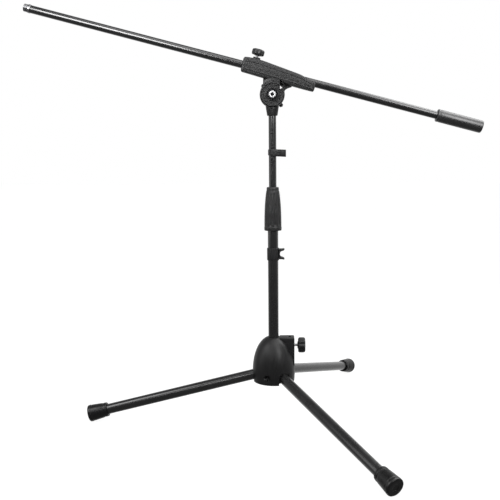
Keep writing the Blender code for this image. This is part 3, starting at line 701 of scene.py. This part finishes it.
def grip():
    """The fluted twist grip, with a plain foot ring and a notched crown."""
    low, high = 421.8, 513.5
    run = [(11.6, low + 3.0), (11.6, low, 0.5), (17.9, low, 1.0), (18.5, low + 1.4, 1.0)]
    run += [(18.5, low + 7.2, 0.8), (18.1, low + 8.2, 0.6), (18.1, low + 12.0, 3.0), (17.9, 450.0, 8.0)]
    run += [(17.3, 470.0, 10.0), (15.7, 490.0, 8.0), (14.1, 503.0, 3.0), (13.7, 505.4, 0.6)]
    run += [(13.2, 506.0, 0.4), (13.0, 511.0, 0.6), (12.3, high, 0.8), (8.6, high, 0.6), (8.6, 502.0, 0.5)]
    run += [(11.6, 499.0)]
    flutes = 12
    notches = 12

    def ripple(radius, height, angle):
        if radius < 12.2 and height < 505.0:
            return radius
        wave = 0.5 - 0.5 * math.cos(flutes * angle)
        bottom = smooth(height, low + 9.0 + 3.5 * (1.0 - wave), low + 12.5 + 3.5 * (1.0 - wave))
        fade = bottom * (1.0 - smooth(height, 497.0, 504.0))
        valley = wave ** 1.4
        notch = smooth(math.cos(notches * angle), 0.55, 0.85) * smooth(height, 505.5, 506.5)
        return radius - 1.1 * valley * fade - 0.7 * notch * smooth(radius, 11.0, 12.3)
    profile = densify(fillet(run, 0.6, 4), 1.6)
    piece("twist_grip", turned(profile, "Z", 216, ripple), POLE, "grip", GRIP, ["clutch_grip"], 40)


def clips():
    """The two snap-on cable clips."""
    ring = fillet([(11.45, 359.0), (11.45, 358.0, 0.4), (12.9, 358.0, 0.7), (12.9, 384.0, 0.7),
                   (11.45, 384.0, 0.4), (11.45, 383.0)], 0.5)
    made = make_object("lower_clip", turned(ring), POLE)
    jaw = [(12.2, 382.2), (20.0, 382.2), (24.3, 383.2), (24.3, 379.8), (20.6, 378.4), (15.4, 376.6)]
    jaw += [(14.4, 371.2), (15.4, 366.0), (20.6, 364.2), (24.3, 362.6), (24.3, 359.2), (20.0, 360.2)]
    jaw += [(12.2, 360.2)]
    loop = fillet(jaw[-1:] + jaw + jaw[:1], 2.2, 5)[1:-1]
    holder = make_object("jaw", prism(unique_points(loop), -7.0, 7.0), POLE)
    soften(holder, 0.6, 3, 50)
    shape = taken_mesh(holder)
    carve(made, [(shape, Matrix.Identity(4))], [(rod(LEG_R + GAP, 340.0, 400.0, sides=96), POLE)])
    finish_piece(made, "lower_clip", KNOB, ["lower_cable_clip"])

    ring = fillet([(8.3, 581.0), (8.3, 580.0, 0.3), (9.4, 580.0, 0.4), (9.4, 592.0, 0.4),
                   (8.3, 592.0, 0.3), (8.3, 591.0)], 0.5)
    made = make_object("upper_clip", turned(ring), POLE)
    side = [(-0.7, 578.0), (28.0, 576.4), (28.0, 591.4), (-0.7, 592.8)]
    holder = make_object("block", prism(side, -9.8, 9.8), POLE)
    soften(holder, 1.0, 4)
    shape = taken_mesh(holder)
    channel = moved(rod(5.0, 560.0, 610.0, sides=64), (18.6, 0.0, 0.0))
    mouth = block(20.0, 40.0, -3.0, 3.0, 560.0, 610.0)
    cuts = [(rod(UPPER_R + GAP, 560.0, 610.0, sides=96), POLE), (channel, POLE), (mouth, POLE)]
    carve(made, [(shape, Matrix.Identity(4))], cuts)
    finish_piece(made, "upper_clip", KNOB, ["upper_cable_clip"])


def unique_points(points):
    """Drop points that repeat the one before or close the loop."""
    made = []
    for point in points:
        if not made or math.dist(made[-1], point) > 0.02:
            made.append(point)
    while math.dist(made[0], made[-1]) < 0.02:
        made.pop()
    return made


def taken_mesh(target):
    """A piece's mesh as a shape in millimetres of the world; the piece is deleted."""
    shape = bmesh.new()
    shape.from_mesh(target.data)
    shape.transform(Matrix.Scale(1.0 / MM, 4))
    bpy.data.objects.remove(target, do_unlink=True)
    return shape


# Head -------------------------------------------------------------------------------------

def swivel_head():
    """The tube socket with the fixed front disc, its rim, recess and raised sector."""
    world = Matrix.Identity(4)
    run = [(0.0, -42.9), (10.7, -42.9, 0.8), (11.1, -41.0, 0.6), (13.9, -23.0, 2.0)]
    run += [(13.9, -14.0), (0.0, -14.0)]
    made = make_object("tilt_head", turned(fillet(run, 0.6)), HEAD)
    face = [(0.0, -15.0), (13.0, -15.0), (13.6, -14.2, 0.3), (21.8, -14.2, 0.4), (22.4, -15.0, 0.5)]
    face += [(24.6, -15.0, 0.9), (25.7, -13.4, 0.9), (25.7, -1.0, 0.3), (0.0, -1.0)]
    disc = turned(fillet(face, 0.5), "Y", 128)
    left, right = -18.2, 16.0
    outline = arc(33.0, math.degrees(math.acos(right / 33.0)), math.degrees(math.acos(left / 33.0)), 24)
    outline += [(left, 6.0), (right, 6.0)]
    sector = make_object("sector", prism(outline, -14.0, -1.2), HEAD)
    soften(sector, 1.0)
    joins = [(disc, HEAD), (taken_mesh(sector), world)]
    recess = [(0.0, -20.0), (12.4, -20.0), (12.4, -15.0), (11.5, -14.2), (11.5, -11.0), (4.3, -11.0)]
    recess += [(4.3, 5.0), (0.0, 5.0)]
    cuts = [(rod(26.8, -0.7, 40.0, "Y", 128), HEAD), (rod(8.3, -50.0, -29.5, sides=96), HEAD)]
    cuts.append((turned(recess, "Y", 96), HEAD))
    corner = [(right, 10.6), (22.1, 13.2), (30.0, 15.0), (30.0, 40.0), (right, 40.0)]
    cuts.append((prism(corner, -20.0, 0.0), HEAD))
    notch = [(-6.5, -24.0), (6.5, -24.0), (1.5, -35.5), (-1.5, -35.5)]
    cuts.append((prism(notch, -18.0, -10.2), HEAD))
    for angle in range(0, 360, 30):
        dimple = moved(rod(1.1, -20.0, -13.4, "Y", 24), (17.7, 0.0, 0.0))
        if 40 < angle % 180 < 140 and angle < 180:
            continue
        cuts.append((spun(dimple, -angle, "Y"), HEAD))
    carve(made, joins, cuts)
    finish_piece(made, "upper_pole", CAST, ["swivel_head"], 28)


def pivot_parts():
    """The bright socket bolt, a black plug that paints the shade inside its hex socket, its dark washer, the rear
    washer and the winged handle.
    """
    head = [(0.0, -14.3), (3.4, -14.3, 0.1), (3.4, -16.9, 0.5), (6.0, -17.0, 0.7), (7.3, -15.6, 0.9)]
    head += [(7.3, -12.9, 0.3), (4.0, -12.9, 0.2), (4.0, 23.2, 0.5), (3.4, 24.0, 0.3), (0.0, 24.0)]
    bolt = make_object("tilt_bolt", turned(fillet(head, 0.3), "Y"), HEAD)
    carve(bolt, (), [(rod(4.0, -20.0, -11.5, "Y", 6), HEAD)])
    finish_piece(bolt, "upper_pole", NICKEL, ["pivot_bolt"])
    # Painted shade: a black steel plug sunk in the bolt's hex socket stands in for the shade deep inside it.
    floor = make_object("tilt_bolt_socket_painted_shade", rod(3.9, -15.2, -11.6, "Y", 6), HEAD)
    soften(floor, 0.3)
    finish_piece(floor, "upper_pole", BLACK_STEEL, [])
    flat = fillet([(4.3, -11.8), (4.3, -12.6, 0.2), (10.6, -12.6, 0.3), (10.6, -11.3, 0.3), (4.3, -11.3, 0.2),
                   (4.3, -11.5)], 0.2)
    piece("tilt_washer", turned(flat, "Y"), HEAD, "upper_pole", BLACK_STEEL, ["pivot_washer"])
    back = fillet([(4.3, 13.5), (4.3, 13.3, 0.1), (9.5, 13.3, 0.3), (9.5, 14.6, 0.3), (4.3, 14.6, 0.1),
                   (4.3, 14.4)], 0.2)
    piece("back_washer", turned(back, "Y"), HEAD, "handle", ZINC, ["rear_washer"])
    hub = [(0.0, 24.4), (4.3, 24.4, 0.2), (4.3, 14.9, 0.3), (7.6, 14.9, 0.6), (8.4, 17.0, 1.0)]
    hub += [(8.4, 26.0, 1.2), (6.4, 28.2, 1.2), (3.0, 28.2, 0.5), (2.4, 27.4, 0.5), (0.0, 27.4)]
    made = make_object("tilt_handle", turned(fillet(hub, 0.6), "Y"), HEAD)
    reach, half_width, half_thick, steps = 31.6, 4.6, 3.9, 40
    sections = []
    for k in range(steps + 1):
        x = -reach + 2.0 * reach * k / steps
        near = min(1.0, (reach - abs(x)) / half_width)
        round_off = math.sqrt(max(0.0025, 1.0 - (1.0 - near) ** 2))
        half = half_width * round_off * (0.86 + 0.14 * abs(x) / reach)
        thick = half_thick * round_off
        sections.append([(x, 22.5 + thick * b, half * a) for a, b in superellipse(3.2, 40)])
    wings = spun(lofted(sections), 47.0, "Y")
    hole = rod(BOLT_HOLE_R, 5.0, 24.4, "Y", 96)
    carve(made, [(wings, HEAD)], [(hole, HEAD)])
    finish_piece(made, "handle", KNOB, ["pivot_handle"], 40)


def superellipse(power, count):
    """Unit points round a boxy ellipse."""
    points = []
    for k in range(count):
        angle = 2.0 * math.pi * (k + 0.5) / count
        c, s = math.cos(angle), math.sin(angle)
        points.append((math.copysign(abs(c) ** (2.0 / power), c), math.copysign(abs(s) ** (2.0 / power), s)))
    return points


# Boom clamp -------------------------------------------------------------------------------

CLAMP_LEFT = -75.5
CLAMP_RIGHT = 81.2
CLAMP_HALF = 13.0
CLAMP_TOP = [(CLAMP_LEFT, 59.0), (-70.0, 60.6), (-58.0, 61.6), (-38.0, 61.6), (-30.0, 61.0), (40.0, 54.2),
             (46.0, 53.4), (50.0, 52.7), (54.0, 51.4), (58.0, 50.0), (64.0, 48.1), (72.0, 45.9),
             (CLAMP_RIGHT, 44.3)]
CLAMP_UNDER = [(CLAMP_LEFT, 29.6), (-40.0, 28.4), (0.0, 27.4), (60.0, 26.4), (CLAMP_RIGHT, 26.6)]
RIB_LEVELS = (-0.5, -0.17, 0.17, 0.5)
RIB_WIDTH = 0.8


def clamp_section(u, points):
    """One rounded cross-section of the clamp, with lengthwise ribs on its flanks."""
    top = on_line(CLAMP_TOP, u)
    under = on_line(CLAMP_UNDER, u)
    centre, half = (top + under) / 2.0, (top - under) / 2.0
    left = min(1.0, max(0.0, (u - CLAMP_LEFT) / 3.0))
    right = min(1.0, max(0.0, (CLAMP_RIGHT - u) / 2.2))
    shrink = math.sqrt(max(0.0, 1.0 - (1.0 - left) ** 2)) * math.sqrt(max(0.0, 1.0 - (1.0 - right) ** 2))
    inset = (1.0 - shrink) * 3.4
    wide = CLAMP_HALF - inset
    tall = half - inset
    section = []
    rib_fade = smooth(u, -71.0, -66.0) * (1.0 - smooth(u, 70.0, 77.0))
    for c, s in points:
        level = s * tall
        ribs = 0.0
        if abs(c) > 0.8:
            for rib in RIB_LEVELS:
                ribs += math.exp(-((s - rib) * half / RIB_WIDTH) ** 2)
        y = c * (wide - 0.8 * rib_fade * (1.0 - min(1.0, ribs)) * smooth(abs(c), 0.8, 0.97))
        section.append((u, y, centre + level))
    return section


def clamp_body():
    """The clamp with its screw boss, rear disc, gusset and bores."""
    world = Matrix.Identity(4)
    points = superellipse(5.0, 144)
    stops = [CLAMP_LEFT, -75.3, -74.9, -74.3, -73.5, -72.5] + [-71.0 + 3.0 * k for k in range(43)]
    stops += [58.0, 61.0, 64.0, 67.0, 70.0, 73.0, 76.0, 78.0, 79.0, 79.6, 80.2, 80.7, 81.0, 81.15]
    stops.append(CLAMP_RIGHT)
    sections = [clamp_section(u, points) for u in stops]
    made = make_object("boom_clamp", lofted(sections), BOOM)
    boss = turned(fillet([(0.0, 50.0), (7.6, 50.0), (7.6, 65.0, 0.8), (5.4, 65.0, 0.2), (5.2, 64.6, 0.2),
                          (0.0, 64.6)], 0.5), "Z", 96)
    face = [(0.0, 0.5), (26.0, 0.5, 0.4), (26.0, 13.0, 1.2), (22.0, 13.0, 0.4), (21.4, 12.2, 0.4)]
    face += [(12.4, 12.2, 0.4), (11.8, 13.0, 0.4), (0.0, 13.0)]
    plate = turned(fillet(face, 0.5), "Y", 128)
    outline = [(-21.5, 6.0), (25.2, 3.0), (22.8, 13.8), (23.9, 16.9), (26.5, 20.0), (30.5, 23.0)]
    outline += [(35.0, 25.5), (35.0, 31.0), (-27.5, 31.0)]
    gusset = make_object("gusset", prism(outline, 0.7, 12.6), BOOM)
    soften(gusset, 1.0)
    joins = [(boss, LOCK), (plate, BOOM), (taken_mesh(gusset), world)]
    cuts = [(rod(33.6, -40.0, 0.2, "Y", 128), BOOM), (rod(8.4, -90.0, 100.0, "X", 96), ROD)]
    cuts += [(rod(9.4, -73.0, 32.3, "X", 96), ROD), (rod(BOLT_HOLE_R, -20.0, 30.0, "Y", 64), BOOM)]
    cuts.append((prism([(9.3, 23.6), (10.7, 14.4), (19.4, 18.6)], -30.0, 30.0), BOOM))
    hole = [(0.0, 50.0), (PAD_HOLE_R, 50.0), (PAD_HOLE_R, 54.4), (SCREW_HOLE_R, 54.4), (SCREW_HOLE_R, 70.0)]
    cuts.append((turned(hole + [(0.0, 70.0)], "Z", 48), LOCK))
    cuts.append((rod(5.6, 58.2, 70.0, sides=6), LOCK))
    carve(made, joins, cuts)
    finish_piece(made, "clamp", CLAMP, ["boom_clamp_body"], 30)


def boom_lock():
    """The clamp's hexagon nut, screw and six-lobed knob."""
    nut = make_object("clamp_nut", rod(5.2, 58.6, 64.8, sides=6), LOCK)
    soften(nut, 0.4)
    carve(nut, (), [(rod(SCREW_HOLE_R, 50.0, 70.0), LOCK)])
    finish_piece(nut, "clamp", ZINC, ["boom_lock_nut"])
    screw = threaded(SCREW_R, SCREW_DEPTH, SCREW_PITCH, 54.6, 77.0)
    piece("clamp_screw", screw, LOCK, "boom_lock", ZINC, ["boom_lock_screw"], 50)
    run = [(0.0, 77.3), (SCREW_HOLE_R, 77.3, 0.2), (SCREW_HOLE_R, 68.4, 0.3), (5.6, 68.4, 0.6)]
    run += [(6.4, 69.3, 0.6)]
    run += [(11.2, 69.5, 1.2), (12.9, 71.4, 1.6), (12.9, 79.2, 1.6), (11.0, 81.6, 1.8), (6.6, 81.6, 0.5)]
    run += [(6.0, 81.0, 0.5), (0.0, 81.1)]
    ripple = lobes(6, 1.9, 6.8)
    piece("clamp_knob", turned(densify(fillet(run, 0.8, 6), 1.6), "Z", 180, ripple), LOCK, "boom_lock",
          KNOB, ["boom_lock_knob"])


# Boom -------------------------------------------------------------------------------------

def boom_ends():
    """The threaded tip, its collar and the counterweight's sleeve."""
    pitch, thread_r, thread_length, steps = 0.94, 7.9, 8.6, 72
    tip, thread_end = -538.6, -530.0
    shank = [(thread_r, thread_end), (6.7, thread_end), (6.7, -500.6), (6.1, -500.0), (0.0, -500.0)]
    rings = [(thread_r, tip + thread_length * k / steps) for k in range(steps + 1)]

    def ripple(radius, height, angle):
        if height > thread_end - 0.05:
            return radius
        phase = (height / pitch - angle / (2.0 * math.pi)) % 1.0
        groove = 0.55 * max(0.0, 1.0 - abs(phase - 0.5) * 2.6)
        return radius - groove - max(0.0, tip + 1.0 - height) * 0.8
    profile = [(0.0, tip + 1.6), (5.0, tip + 1.6), (5.4, tip)] + rings + shank
    piece("boom_thread", turned(profile, "X", 96, ripple), ROD, "boom", CHROME, ["thread_stud"], 50)
    collar = [(7.0, -529.0), (7.0, -529.7, 0.2), (8.3, -529.7, 0.5), (8.8, -529.0, 0.5), (8.8, -525.0, 0.5),
              (8.3, -524.3, 0.4), (7.0, -524.3, 0.2), (7.0, -525.0)]
    piece("boom_collar", turned(fillet(collar, 0.3), "X"), ROD, "boom", CHROME, ["thread_collar"])
    run = [(0.0, 436.2), (7.0, 436.2, 0.5), (7.6, 437.0, 0.5), (10.0, 437.0, 0.8), (13.0, 436.6, 3.2)]
    run += [(13.0, 347.0, 0.3), (12.5, 346.2, 0.3), (12.5, 345.4, 0.3), (13.0, 344.6, 0.3)]
    run += [(13.0, 340.8, 1.4), (10.8, 340.0, 0.8), (8.4, 340.0, 0.4), (8.4, 342.7, 0.2)]
    run += [(11.9, 342.7, 0.2), (11.9, 433.0, 0.3), (0.0, 433.0)]
    piece("weight_sleeve", turned(densify(fillet(run, 0.6, 6), 12.0), "X"), ROD, "boom", WEIGHT,
          ["counterweight_sleeve"])


# Stage ------------------------------------------------------------------------------------

CAMERA_FROM_POLE = Vector((-0.012, -1.515, 0.589))
CAMERA_YAW = math.radians(-1.41)
CAMERA_PITCH = math.radians(7.86)
CAMERA_ROLL = math.radians(-0.58)
CAMERA_LENS = 51.55
FLOOR_GLOW = 0.94

# Each soft box: place, what it faces, size across and up, power in watts and spread in degrees
SOFT_BOXES = {
    "key_box": ((-0.62, -1.25, 1.24), (-0.36, 0.0, 0.86), (0.8, 0.7), 2.3, 46.0),
    "over_box": ((0.4, -0.5, 1.95), (0.2, 0.0, 0.55), (1.6, 1.2), 12.0, 180.0),
    "front_right_box": ((1.05, -1.2, 1.4), (0.42, 0.0, 0.8), (0.7, 1.3), 3.2, 68.0),
    "right_top_box": ((1.05, 0.45, 1.5), (0.3, 0.0, 0.8), (0.9, 1.2), 13.0, 180.0),
    "left_top_box": ((-1.35, -0.82, 1.56), (-0.15, 0.0, 0.15), (0.9, 1.1), 11.0, 180.0),
    "left_box": ((-1.9, -0.4, 0.8), (0.04, 0.0, 0.55), (0.8, 1.4), 4.0, 180.0),
    "right_box": ((1.9, 0.3, 0.7), (0.04, 0.0, 0.55), (0.5, 1.4), 2.0, 180.0),
}


def camera():
    """Stand in front of the boom, looking slightly down at the middle of the pole."""
    forward = Vector((math.sin(CAMERA_YAW) * math.cos(CAMERA_PITCH),
                      math.cos(CAMERA_YAW) * math.cos(CAMERA_PITCH), -math.sin(CAMERA_PITCH)))
    level = forward.cross(Vector((0.0, 0.0, 1.0))).normalized()
    raised = level.cross(forward)
    right = level * math.cos(CAMERA_ROLL) + raised * math.sin(CAMERA_ROLL)
    up = raised * math.cos(CAMERA_ROLL) - level * math.sin(CAMERA_ROLL)
    data = bpy.data.cameras.new("camera")
    data.lens = CAMERA_LENS
    data.sensor_width = 36.0
    data.clip_end = 50.0
    made = bpy.data.objects.new("camera", data)
    position = POLE.translation + CAMERA_FROM_POLE
    made.matrix_world = axes_matrix(right, up, -forward, position)
    bpy.context.scene.collection.objects.link(made)
    bpy.context.scene.camera = made


def softbox(name, place_at, target, size, power, spread):
    """A rectangular light turned to face a point."""
    data = bpy.data.lights.new(name, "AREA")
    data.shape = "RECTANGLE"
    data.size, data.size_y = size
    data.energy = power
    data.spread = math.radians(spread)
    made = bpy.data.objects.new(name, data)
    made.location = place_at
    made.rotation_mode = "QUATERNION"
    made.rotation_quaternion = (Vector(target) - Vector(place_at)).to_track_quat("-Z", "Y")
    bpy.context.scene.collection.objects.link(made)


def span(nodes, links, source, given, wanted):
    """Map one range of a world value to another."""
    made = nodes.new("ShaderNodeMapRange")
    made.inputs["From Min"].default_value, made.inputs["From Max"].default_value = given
    made.inputs["To Min"].default_value, made.inputs["To Max"].default_value = wanted
    links.new(source, made.inputs["Value"])
    return made.outputs["Result"]


def studio():
    """A pale floor, a bright surround seen only directly, and the soft boxes."""
    shape = bmesh.new()
    bmesh.ops.create_grid(shape, x_segments=1, y_segments=1, size=12.0)
    mesh = bpy.data.meshes.new("floor")
    shape.to_mesh(mesh)
    shape.free()
    floor = bpy.data.objects.new("floor", mesh)
    floor.location.z = -0.0003
    f = Finish("studio_floor", 0.7, specular=0.1)
    tone = f.ramp(f.noise(3.0, 2.0), 0.3, 0.7)
    f.shader.inputs["Emission Color"].default_value = (1.0, 1.0, 1.0, 1.0)
    f.shader.inputs["Emission Strength"].default_value = FLOOR_GLOW
    pale = f.blend(tone, (0.14, 0.14, 0.14), (0.16, 0.16, 0.16))
    mesh.materials.append(f.done(pale, f.ramp(tone, 0.0, 1.0, 0.65, 0.75)))
    bpy.context.scene.collection.objects.link(floor)
    floor.visible_glossy = False
    floor.visible_diffuse = False

    world = bpy.data.worlds.new("studio")
    bpy.context.scene.world = world
    world.use_nodes = True
    nodes, links = world.node_tree.nodes, world.node_tree.links
    background = nodes["Background"]
    coordinates = nodes.new("ShaderNodeTexCoord")
    split = nodes.new("ShaderNodeSeparateXYZ")
    links.new(coordinates.outputs["Generated"], split.inputs["Vector"])
    back = span(nodes, links, split.outputs["Y"], (0.2, 0.85), (0.0, 0.6))
    low = span(nodes, links, split.outputs["Z"], (0.2, 0.6), (1.0, 0.0))
    sweep = nodes.new("ShaderNodeMath")
    sweep.operation = "MULTIPLY_ADD"
    links.new(back, sweep.inputs[0])
    links.new(low, sweep.inputs[1])
    links.new(span(nodes, links, split.outputs["Z"], (-0.3, 0.4), (0.17, 0.2)), sweep.inputs[2])
    path = nodes.new("ShaderNodeLightPath")
    seen = nodes.new("ShaderNodeMix")
    links.new(path.outputs["Is Camera Ray"], seen.inputs["Factor"])
    links.new(sweep.outputs["Value"], seen.inputs["A"])
    seen.inputs["B"].default_value = 1.0
    links.new(seen.outputs["Result"], background.inputs["Strength"])
    background.inputs["Color"].default_value = (1.0, 1.0, 1.0, 1.0)

    for name, settings in SOFT_BOXES.items():
        softbox(name, *settings)
    bpy.context.scene.view_settings.view_transform = "Standard"


def build():
    """Materials on the frame first, then the stage and every piece from the floor up."""
    dress_frame()
    camera()
    studio()
    tubes()
    feet()
    leg_ends()
    housing()
    base_lock()
    grip()
    clips()
    swivel_head()
    pivot_parts()
    clamp_body()
    boom_lock()
    boom_ends()


build()
